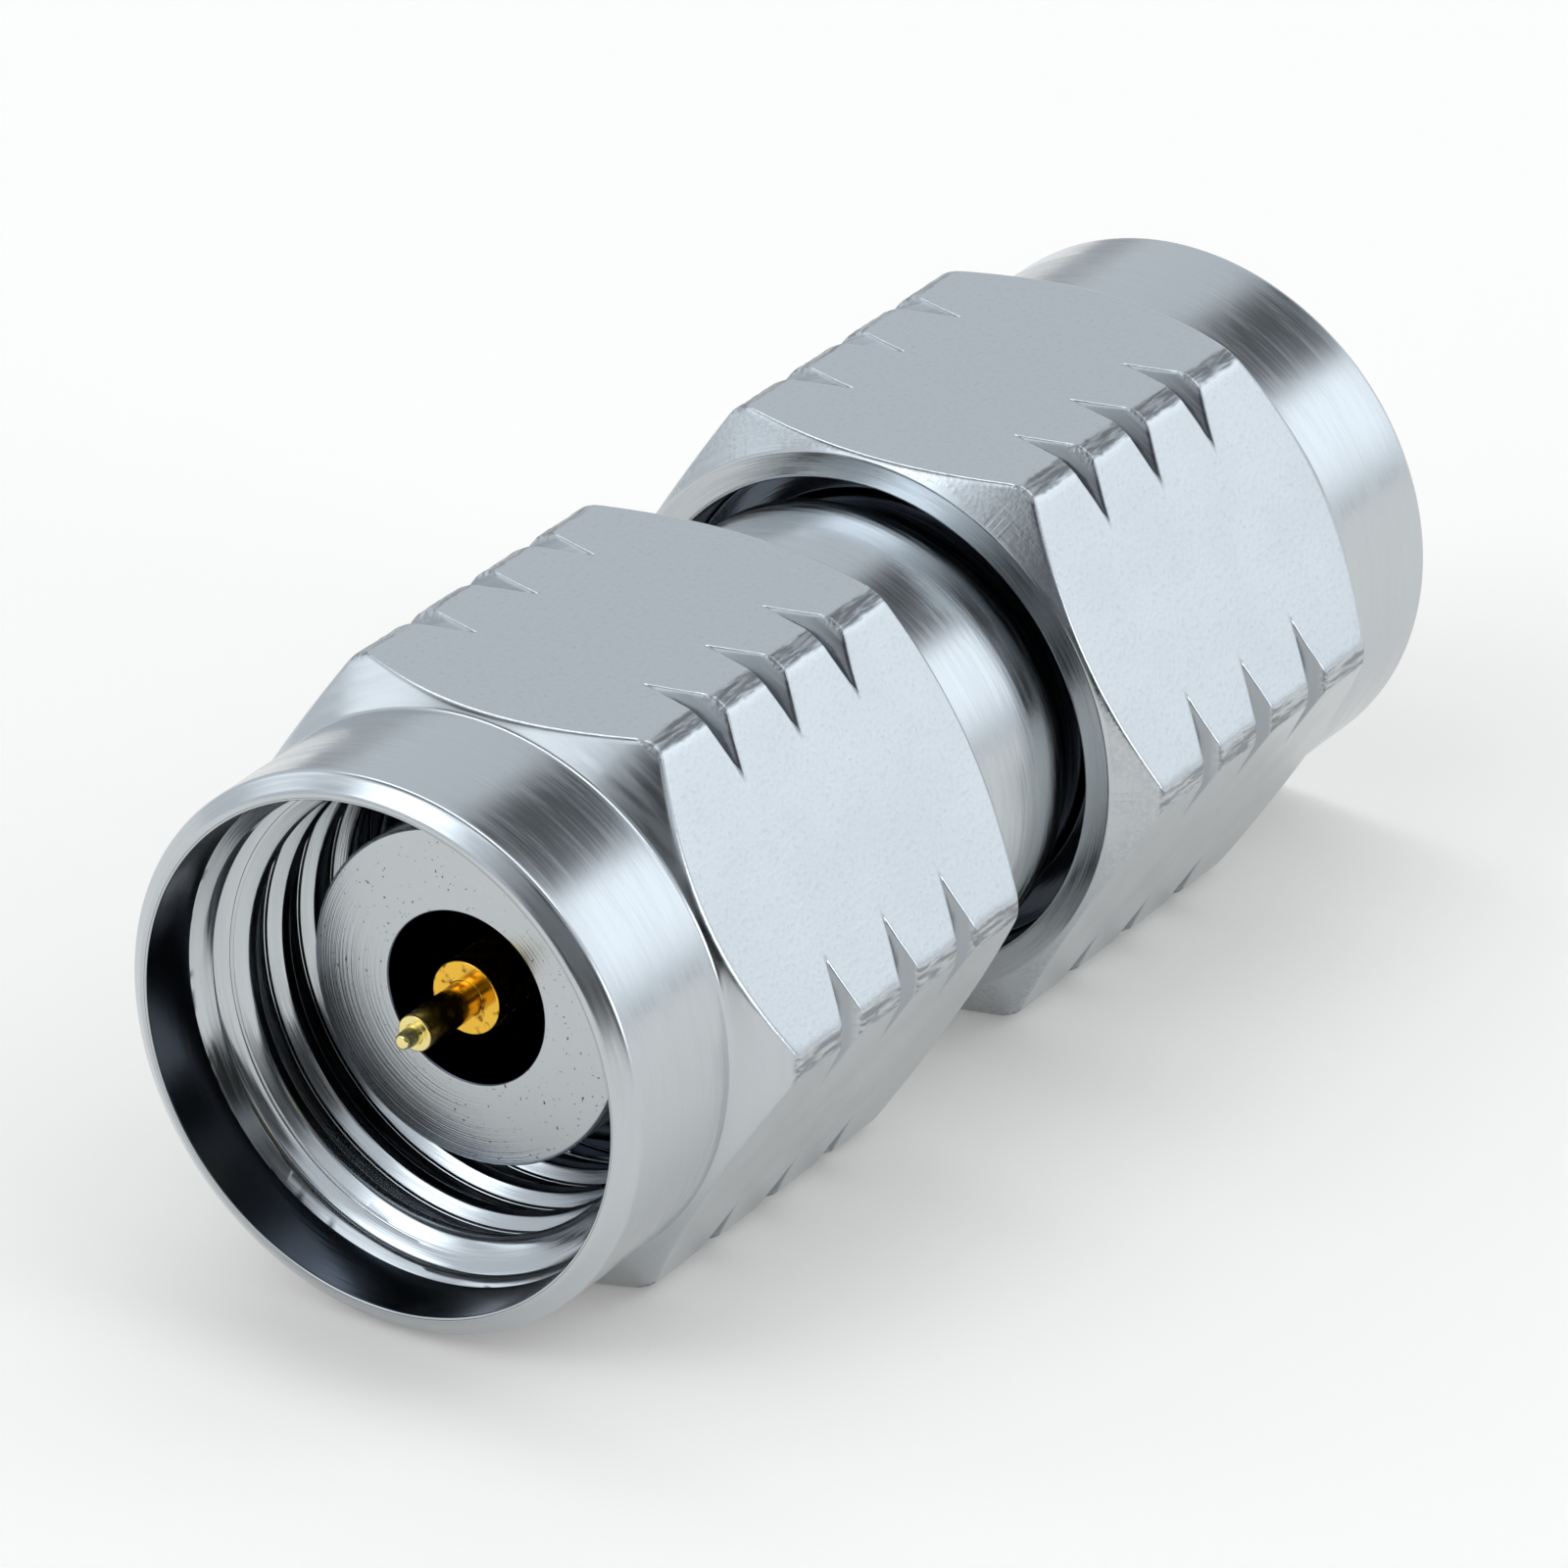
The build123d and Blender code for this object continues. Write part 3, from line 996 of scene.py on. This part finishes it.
        # The mouth bore and the inside behind the thread get painted shade, a darker colour
        bore_shade = [
            np.clip((self.mouth + 0.012 - nose[:, 1:]) / 0.01, 0, 1) * wide,
            np.zeros_like(thread_radius),
            np.clip((self.skirt + 0.02 - inner[:, 1:]) / 0.02, 0, 1) * wide,
            0 * wide,
        ]
        # The notch walls join the bores in getting painted shade
        shaded_recess = np.concatenate([notched, *bore_shade])
        marks = {Mark.TURNED: turned, Mark.CORNER: corner, Mark.SHADED_RECESS: shaded_recess}
        piece = grid_object(f"{self.side.word}_nut", self.side.value, station, radius, angle, marks)
        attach(piece, f"{self.side.word}_nut")
        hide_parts(f"{self.side.word}_coupling_nut")
        return piece

    def dress(self, piece: bpy.types.Object, steel: bpy.types.Material) -> None:
        """Gives the nut its steel."""
        wear(piece, steel)


@dataclass(frozen=True)
class CentreBarrel:
    """Body of the adapter: a flange between the nuts and a neck inside each of them.

    Attributes:
        flange: Radius of the flange.
        flange_end: Station of the flange's end.
        neck: Radius of the necks.
        neck_end: Station of a neck's end.
        ring_groove: Radius at the bottom of a ring groove.
        ring_place: Station of the middle of a ring groove.
        ring_groove_half: Half the width of a ring groove.
        tail_bore: Radius of the bore that takes an outer conductor's tail.
        tail_end: Station where that bore ends.
        bead_bore: Radius of a bead seat.
        bead_end: Station where a bead seat ends.
        line_bore: Radius of the air line.
        columns: Number of columns round the axis.
    """

    flange: float = 3.30
    flange_end: float = 1.32
    neck: float = 3.00
    neck_end: float = 4.90
    ring_groove: float = 2.55
    ring_place: float = 3.58
    ring_groove_half: float = 0.43
    tail_bore: float = 2.25
    tail_end: float = 3.15
    bead_bore: float = 1.90
    bead_end: float = 2.35
    line_bore: float = 1.20
    columns: int = 192

    def outline(self) -> np.ndarray:
        """Closed outline of the barrel, one half and then its mirror image.

        Returns:
            Its points, one (station, radius) pair per row.
        """
        half = np.array(
            [
                (self.bead_end, self.line_bore),
                (self.bead_end, self.bead_bore),
                (self.tail_end, self.bead_bore),
                (self.tail_end, self.tail_bore),
                (self.neck_end, self.tail_bore),
                (self.neck_end, self.neck),
                (self.ring_place + self.ring_groove_half, self.neck),
                (self.ring_place + self.ring_groove_half, self.ring_groove),
                (self.ring_place - self.ring_groove_half, self.ring_groove),
                (self.ring_place - self.ring_groove_half, self.neck),
                (self.flange_end, self.neck),
                (self.flange_end, self.flange),
            ]
        )
        mirrored = half[::-1] * np.array([-1, 1])
        reach = np.array([0.02, 0.02, 0.02, 0.02, 0.03, 0.10, 0.03, 0.03, 0.03, 0.03, 0.03, 0.06])
        return softened(np.concatenate([half, mirrored]), np.concatenate([reach, reach[::-1]]), closed=True)

    def build(self) -> bpy.types.Object:
        """Makes the barrel and puts it on the core.

        Returns:
            The barrel.
        """
        outline = self.outline()
        marks = {Mark.TURNED: np.ones(len(outline))}
        piece = turned_object("barrel", 1, outline, self.columns, marks)
        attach(piece, "core")
        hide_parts("centre_barrel")
        return piece

    def dress(self, piece: bpy.types.Object, steel: bpy.types.Material) -> None:
        """Gives the barrel its steel."""
        wear(piece, steel)


@dataclass(frozen=True)
class OuterConductor:
    """Plug sleeve of one end: tail in the barrel, shoulder on the neck, plug in the nut.

    Attributes:
        side: Which half of the adapter it sits on.
        bore: Radius of the air line.
        tail: Radius of the tail.
        tail_start: Station where the tail starts.
        shoulder: Radius of the shoulder.
        shoulder_start: Station where the shoulder starts.
        shoulder_end: Station where the shoulder ends.
        plug: Radius of the plug.
        face: Station of the plug's flat face.
        columns: Number of columns round the axis.
    """

    side: Side
    bore: float = 1.20
    tail: float = 2.25
    tail_start: float = 3.15
    shoulder: float = 3.00
    shoulder_start: float = 4.90
    shoulder_end: float = 5.75
    plug: float = 2.36
    face: float = 7.97
    columns: int = 192

    def outline(self) -> np.ndarray:
        """Closed outline of the sleeve.

        Returns:
            Its points, one (station, radius) pair per row.
        """
        corners = np.array(
            [
                (self.tail_start, self.bore),
                (self.face, self.bore),
                (self.face, self.plug),
                (self.shoulder_end, self.plug),
                (self.shoulder_end, self.shoulder),
                (self.shoulder_start, self.shoulder),
                (self.shoulder_start, self.tail),
                (self.tail_start, self.tail),
            ]
        )
        reach = np.array([0.02, 0.045, 0.05, 0.03, 0.08, 0.03, 0.03, 0.03])
        return softened(corners, reach, 8, closed=True)

    def build(self) -> bpy.types.Object:
        """Makes the sleeve and puts it on the core.

        Returns:
            The sleeve.
        """
        outline = self.outline()
        # The faced end is all within 0.06 mm of the face, apart from the edge of the bore
        faced = np.clip((outline[:, 0] - self.face + 0.06) / 0.03, 0, 1)
        faced *= outline[:, 1] > self.bore + 0.03
        # Everything but the faced end gets painted shade, which darkens the air line's bore
        marks = {Mark.TURNED: np.ones(len(outline)), Mark.FACED: faced, Mark.SHADED_RECESS: 1 - faced}
        piece = turned_object(f"{self.side.word}_sleeve", self.side.value, outline, self.columns, marks)
        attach(piece, "core")
        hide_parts(f"{self.side.word}_outer_conductor")
        return piece

    def dress(self, piece: bpy.types.Object, steel: bpy.types.Material) -> None:
        """Gives the sleeve its steel."""
        wear(piece, steel)


@dataclass(frozen=True)
class Contact:
    """Gold centre contact of one end, turned from one rod.

    Attributes:
        side: Which half of the adapter it sits on.
        stud: Radius of the stud that screws into the centre rod.
        stud_start: Station where the stud starts.
        conductor: Radius of the centre conductor.
        conductor_start: Station where it meets the bead.
        face: Station of the conductor's face.
        pin: Radius of the pin.
        pin_end: Station of the pin's end.
        nose_base: Radius of the nose where it leaves the pin.
        nose: Radius of the rounded tip.
        tip: Station of the tip.
        tip_share: Radius at the tip before its edge is rounded, as a share of the nose's.
        columns: Number of columns round the axis.
    """

    side: Side
    stud: float = 0.25
    stud_start: float = 1.45
    conductor: float = 0.521
    conductor_start: float = 3.15
    face: float = 7.97
    pin: float = 0.2555
    pin_end: float = 9.13
    nose_base: float = 0.14
    nose: float = 0.12
    tip: float = 9.43
    tip_share: float = 0.82
    columns: int = 96

    def outline(self) -> np.ndarray:
        """Outline from the end of the stud on the axis to the tip of the nose on the axis.

        Returns:
            Its points, one (station, radius) pair per row.
        """
        corners = np.array(
            [
                (self.stud_start, 0.0),
                (self.stud_start, self.stud),
                (self.conductor_start, self.stud),
                (self.conductor_start, self.conductor),
                (self.face, self.conductor),
                (self.face, self.pin),
                (self.pin_end, self.pin),
                (self.pin_end, self.nose_base),
                (self.tip - self.nose, self.nose),
                (self.tip, self.nose * self.tip_share),
                (self.tip, 0.0),
            ]
        )
        reach = np.array([0.02, 0.02, 0.02, 0.03, 0.015, 0.035, 0.015, 0.03, 0.05])
        return softened(corners, reach)

    def build(self) -> bpy.types.Object:
        """Makes the contact and puts it on the core.

        Returns:
            The contact.
        """
        outline = self.outline()
        # The shoulder is faced, the pin's side gets painted shade from its foot to its end, and
        # beyond it the tip is paler
        side = np.clip((outline[:, 0] - self.face - 0.01) / 0.05, 0, 1)
        tip = np.clip((outline[:, 0] - self.pin_end + 0.02) / 0.02, 0, 1)
        marks = {Mark.TURNED: side * (1 - tip), Mark.TIP: tip}
        piece = turned_object(f"{self.side.word}_pin", self.side.value, outline, self.columns, marks)
        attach(piece, "core")
        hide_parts(f"{self.side.word}_contact")
        return piece

    def dress(self, piece: bpy.types.Object, gold: bpy.types.Material) -> None:
        """Gives the contact its gold."""
        wear(piece, gold)


@dataclass(frozen=True)
class InnerParts:
    """The solids that stay as the model has them: centre rod, support beads and retaining rings."""

    def dress(
        self,
        nodes: dict[str, bpy.types.Object],
        gold: bpy.types.Material,
        plastic: bpy.types.Material,
        spring: bpy.types.Material,
    ) -> None:
        """Gives each of them its material.

        Args:
            nodes: The model's nodes by name.
            gold: Material of the centre rod.
            plastic: Material of the support beads.
            spring: Material of the retaining rings.
        """
        wear(nodes["centre_rod"], gold)
        for side in Side:
            wear(nodes[f"{side.word}_support_bead"], plastic)
            wear(nodes[f"{side.word}_retaining_ring"], spring)


# Studio


def direction(azimuth: float, elevation: float) -> tuple[float, float, float]:
    """Unit vector with this azimuth from +X towards +Y and this elevation, both in degrees."""
    a, e = np.radians(azimuth), np.radians(elevation)
    return (float(np.cos(e) * np.cos(a)), float(np.cos(e) * np.sin(a)), float(np.sin(e)))


@dataclass(frozen=True)
class Panel:
    """A round soft light or a dark flag of the studio.

    Attributes:
        azimuth: Where it stands, in degrees from +X towards +Y.
        elevation: How high it stands, in degrees.
        inner: Half-angle of its even middle, in degrees.
        outer: Half-angle at which it has faded out, in degrees.
        level: Light that a soft light adds, or the share of light that a flag takes away.
        dark: True for a flag.
    """

    azimuth: float
    elevation: float
    inner: float
    outer: float
    level: float
    dark: bool = False

    def share(self, node: NodeMaker, looking: bpy.types.NodeSocket) -> bpy.types.Node:
        """How much of the panel is seen in a direction, from 0 to 1, by the cosine of their angle.

        Args:
            node: add_node for the world's tree.
            looking: The direction.

        Returns:
            The node with the share.
        """
        aim = {0: looking, 1: direction(self.azimuth, self.elevation)}
        facing = node("ShaderNodeVectorMath", aim, operation="DOT_PRODUCT")
        edge, middle = np.cos(np.radians([self.outer, self.inner])).tolist()
        return node("ShaderNodeMapRange", ramp(facing, edge, middle), interpolation_type="SMOOTHSTEP")


@dataclass(frozen=True)
class Strip:
    """A long soft light or flag that arches over the object from side to side.

    Attributes:
        low: Lower edge, as the X part of its direction.
        high: Upper edge, as the X part of its direction.
        foot: Z part of the direction at which it starts on both sides.
        level: Light that it adds, or the share of light that it takes away.
        dark: True for a flag.
        edge_soft: Half the width of its two soft edges, in parts of the direction.
        foot_soft: Half the width of its soft foot, likewise.
    """

    low: float
    high: float
    foot: float
    level: float
    dark: bool = False
    edge_soft: float = 0.04
    foot_soft: float = 0.08

    def share(self, node: NodeMaker, looking: bpy.types.NodeSocket) -> bpy.types.Node:
        """How much of the strip is seen in a direction, from 0 to 1: the product of its three soft edges.

        Args:
            node: add_node for the world's tree.
            looking: The direction.

        Returns:
            The node with the share.
        """
        x, _, z = node("ShaderNodeSeparateXYZ", {0: looking}).outputs
        share = 1.0
        for inputs in (
            ramp(x, self.low - self.edge_soft, self.low + self.edge_soft),
            ramp(x, self.high - self.edge_soft, self.high + self.edge_soft, 1.0, 0.0),
            ramp(z, self.foot - self.foot_soft, self.foot + self.foot_soft),
        ):
            edge = node("ShaderNodeMapRange", inputs, interpolation_type="SMOOTHSTEP")
            share = node("ShaderNodeMath", {0: share, 1: edge}, operation="MULTIPLY")
        return share


@dataclass(frozen=True)
class Studio:
    """A pale tent round the object, with soft light panels and dark flags that its steel mirrors.

    Attributes:
        level: Brightness of the tent.
        tint: sRGB colour of the tent's light.
        panels: The soft lights and flags.
    """

    level: float = 0.84
    tint: str = "#F3F9FF"
    # Lights first, then flags, placed so that each reflection lies where the photograph has it
    panels: tuple[Panel | Strip, ...] = (
        Panel(-36, 26, 6, 27, 0.85),
        Panel(104, 28, 8, 18, 0.70),
        Panel(152, 35, 8, 18, 1.90),
        Panel(172, 56, 8, 18, 0.60),
        Panel(-85, 16, 8, 15, 3.0),
        Strip(0.12, 0.28, 0.72, 2.8),
        Panel(-11, 42, 7, 21, 0.83, dark=True),
        Panel(-119, 12, 9, 27, 0.92, dark=True),
        Panel(-150, 38, 4, 24, 0.90, dark=True),
        Panel(-131, 4, 12, 25, 0.92, dark=True),
        Panel(-163, 6, 13, 21, 0.93, dark=True),
        Panel(41, 3, 4, 14, 0.38, dark=True),
        Strip(-0.32, -0.08, 0.68, 0.80, dark=True),
    )

    def build(self) -> bpy.types.World:
        """Builds the world: level plus each light's share, times what each flag leaves.

        Returns:
            The world, set on the scene.
        """
        world = bpy.data.worlds.new("studio")
        world.use_nodes = True
        world.node_tree.nodes.clear()
        node = partial(add_node, world.node_tree)
        looking = node("ShaderNodeTexCoord").outputs["Generated"]
        total = self.level
        for panel in sorted(self.panels, key=lambda panel: panel.dark):
            amount = {0: panel.share(node, looking), 1: panel.level}
            if panel.dark:
                taken = node("ShaderNodeMath", amount, operation="MULTIPLY")
                left = node("ShaderNodeMath", {0: 1.0, 1: taken}, operation="SUBTRACT")
                total = node("ShaderNodeMath", {0: total, 1: left}, operation="MULTIPLY")
            else:
                total = node("ShaderNodeMath", {**amount, 2: total}, operation="MULTIPLY_ADD")
        light = node("ShaderNodeBackground", {"Color": linear(self.tint), "Strength": total})
        node("ShaderNodeOutputWorld", {"Surface": light})
        bpy.context.scene.world = world
        return world


@dataclass(frozen=True)
class Floor:
    """Plain white studio floor that the flats of the nuts lie on.

    Attributes:
        height: Height of the floor.
        half_width: Half its width.
        colour: sRGB colour of its paint.
        glow: Light that it adds for the camera and for mirrors, so that it reads as white.
    """

    height: float = -4.0
    half_width: float = 500.0
    colour: str = "#F5F0EA"
    glow: float = 0.13

    def build(self) -> bpy.types.Object:
        """Makes the floor with its paint.

        Returns:
            The floor.
        """
        w = self.half_width * METRES_PER_MM
        corners = [(-w, -w), (w, -w), (w, w), (-w, w)]
        mesh = bpy.data.meshes.new("floor")
        mesh.from_pydata([(x, y, self.height * METRES_PER_MM) for x, y in corners], [], [(0, 1, 2, 3)])
        piece = bpy.data.objects.new("floor", mesh)
        bpy.context.scene.collection.objects.link(piece)
        wear(piece, self.paint())
        return piece

    def paint(self) -> bpy.types.Material:
        """Matt white paint, with its glow for camera, mirror and glass rays only.

        Returns:
            The material.
        """
        material, node = new_material("studio floor paint")
        path = node("ShaderNodeLightPath").outputs
        seen = 0.0
        for ray in ("Is Camera Ray", "Is Glossy Ray", "Is Transmission Ray"):
            seen = node("ShaderNodeMath", {0: seen, 1: path[ray]}, operation="MAXIMUM")
        strength = node("ShaderNodeMath", {0: seen, 1: self.glow}, operation="MULTIPLY")
        matt = node("ShaderNodeBsdfDiffuse", {"Color": linear(self.colour)})
        glow = node("ShaderNodeEmission", {"Strength": strength})
        both = node("ShaderNodeAddShader", {0: matt, 1: glow})
        node("ShaderNodeOutputMaterial", {"Surface": both})
        return material


@dataclass(frozen=True)
class PhotoCamera:
    """Camera at the photograph's place, fitted to the hexagon corners and the circles of the mouth.

    Attributes:
        aim: Point of the object that it looks at.
        distance: Distance from that point.
        heading: Direction that it looks in, in degrees from +Y towards +X.
        elevation: Height above the horizon, in degrees.
        roll: Turn about the line of sight, in degrees, right side up.
        lens: Focal length on a sensor 36 mm wide.
    """

    aim: tuple[float, float, float] = (-0.235, 0.135, -0.243)
    distance: float = 149.76
    heading: float = 57.598
    elevation: float = 27.401
    roll: float = 1.072
    lens: float = 257.52

    def build(self) -> bpy.types.Object:
        """Makes the camera from its line of sight and its two sides, and sets it as the scene's.

        Returns:
            The camera.
        """
        h, e, r = np.radians([self.heading, self.elevation, self.roll])
        sight = np.array([np.cos(e) * np.sin(h), np.cos(e) * np.cos(h), -np.sin(e)])
        level_right = np.array([np.cos(h), -np.sin(h), 0.0])
        level_up = np.cross(level_right, sight)
        right = level_right * np.cos(r) + level_up * np.sin(r)
        up = np.cross(right, sight)
        place = (np.array(self.aim) - sight * self.distance) * METRES_PER_MM
        data = bpy.data.cameras.new("photo camera")
        data.sensor_width = 36.0
        data.lens = self.lens
        data.clip_start = 0.001
        data.clip_end = 10.0
        camera = bpy.data.objects.new("photo camera", data)
        bpy.context.scene.collection.objects.link(camera)
        turn = np.eye(4)
        turn[:3, 0], turn[:3, 1], turn[:3, 2], turn[:3, 3] = right, up, -sight, place
        camera.matrix_world = Matrix(turn.tolist())
        bpy.context.scene.camera = camera
        return camera


def main() -> None:
    """Builds the studio and every piece in order."""
    logging.basicConfig(level=logging.INFO, format="%(message)s")
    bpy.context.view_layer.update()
    view = bpy.context.scene.view_settings
    view.view_transform = "Standard"

    PhotoCamera().build()
    Studio().build()
    Floor().build()
    log.info("studio, floor and camera are ready")

    nut_steel = Steel("passivated stainless steel, milled flats and turned corners").make()
    turned_steel = Steel("passivated stainless steel, fine turned", line_width=0.05).make()
    tumbled = "spring-hard stainless steel, tumbled"
    spring_steel = Steel(tumbled, colour="#B4B7BA", smooth=0.25, rough=0.38).make()
    gold = GoldPlate("gold plate over turned beryllium copper").make()
    plastic = BeadPlastic("machined amber engineering plastic").make()

    barrel = CentreBarrel()
    barrel.dress(barrel.build(), turned_steel)
    log.info("centre barrel done")
    for side, seed in ((Side.FRONT, 11), (Side.REAR, 47)):
        sleeve = OuterConductor(side)
        sleeve.dress(sleeve.build(), turned_steel)
        contact = Contact(side)
        contact.dress(contact.build(), gold)
        log.info("%s sleeve and contact done", side.word)
        nut = CouplingNut(side, seed)
        nut.dress(nut.build(), nut_steel)
        log.info("%s coupling nut done", side.word)
    InnerParts().dress(frame["nodes"], gold, plastic, spring_steel)
    log.info("inner parts dressed")


if __name__ == "__main__":
    main()
